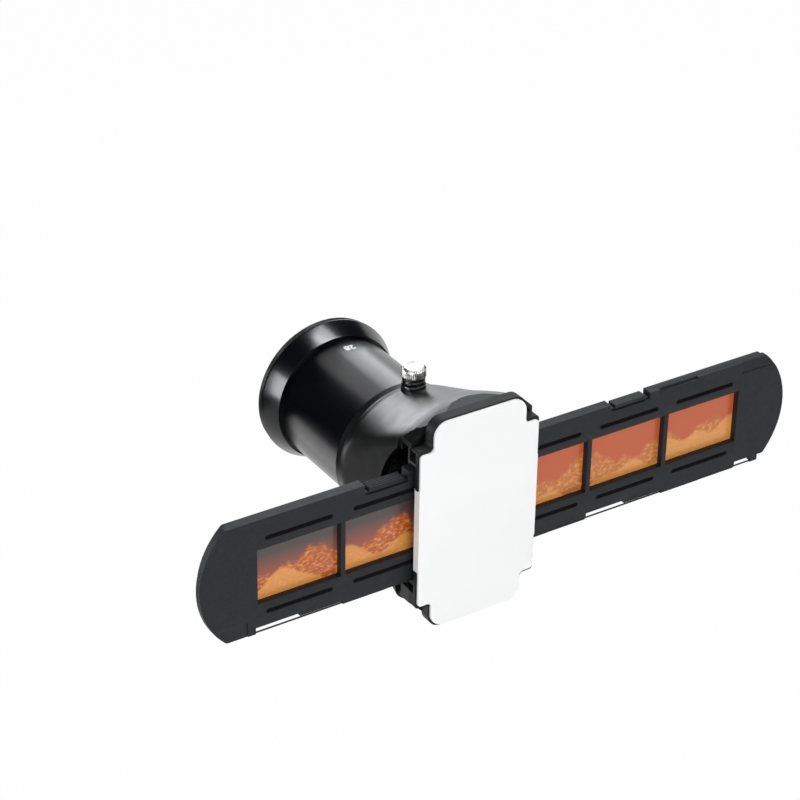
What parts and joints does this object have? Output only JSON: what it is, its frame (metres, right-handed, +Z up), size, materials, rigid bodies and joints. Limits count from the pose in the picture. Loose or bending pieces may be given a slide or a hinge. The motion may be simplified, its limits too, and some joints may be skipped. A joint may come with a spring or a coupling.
{
  "type": "slide duplicator",
  "caption": "Film duplicator for a close-up lens: threaded adapter ring, sliding drawtube, flared hood with opal diffuser, and a strip film holder that slides through the gate.",
  "frame": {"origin": "shoulder of the adapter ring that seats on the lens's front rim, on the optical axis", "axes": "+Y along the optical axis towards the lens, +Z up, out through the lock screw, +X to the right along the film holder"},
  "size_m": [0.2746, 0.1158, 0.0932],
  "materials": {
    "anodised": "satin black anodised",
    "sleeve_plastic": "self-lubricating black plastic",
    "hood_plastic": "satin moulded black",
    "frame_plastic": "satin black",
    "rail_plastic": "matt black",
    "aperture_black": "matt black paint",
    "black_screw": "blackened steel",
    "spring_steel": "bright spring steel",
    "opal": "opal white, smooth",
    "holder_plastic": "fine-grained charcoal",
    "film": "orange-masked colour negative",
    "brass": "turned brass",
    "collar_black": "black",
    "nickel": "bright nickel, knurled",
    "pad_plastic": "natural white plastic"
  },
  "bodies": {
    "lens_side": {"adapter_ring": "anodised", "retaining_ring": "anodised", "drawtube": "anodised"},
    "sleeve": {"friction_sleeve": "sleeve_plastic"},
    "hood": {"socket_ring": "anodised", "housing": "hood_plastic", "gate_frame": "frame_plastic", "frame_screws": "black_screw", "guide_rail_upper": "rail_plastic", "guide_rail_lower": "rail_plastic", "aperture_plate": "aperture_black", "aperture_screws": "black_screw", "pressure_spring_upper": "spring_steel", "pressure_spring_lower": "spring_steel", "diffuser": "opal", "screw_bush": "brass"},
    "pad": {"pressure_pad": "pad_plastic"},
    "lock_screw": {"screw_stud": "brass", "screw_collar": "collar_black", "screw_head": "nickel"},
    "holder": {"holder_front_leaf": "holder_plastic", "holder_rear_leaf": "holder_plastic", "hinge_pin": "spring_steel", "latch_left": "holder_plastic", "latch_right": "holder_plastic", "film_strip": "film"}
  },
  "joints": [
    {"name": "tube_slide", "type": "slide", "parent": "lens_side", "child": "sleeve", "axis": [0, 1, 0], "range_m": [-0.0048, 0.02]},
    {"name": "level_turn", "type": "hinge", "parent": "sleeve", "child": "hood", "pos_m": [0, -0.0617, 0], "axis": [0, 1, 0], "continuous": true},
    {"name": "holder_slide", "type": "slide", "parent": "hood", "child": "holder", "axis": [1, 0, 0], "range_m": [-0.119, 0.081]},
    {"name": "pad_lift", "type": "slide", "parent": "hood", "child": "pad", "axis": [0, 0, 1], "range_m": [0, 0.0014]},
    {"name": "screw_turn", "type": "hinge", "parent": "pad", "child": "lock_screw", "pos_m": [0, -0.0659, 0.03], "axis": [0, 0, 1], "range_deg": [0, 720]}
  ],
  "couplings": [
    {"joint": "screw_turn", "follows": "pad_lift", "rad_per_m": 8976}
  ]
}
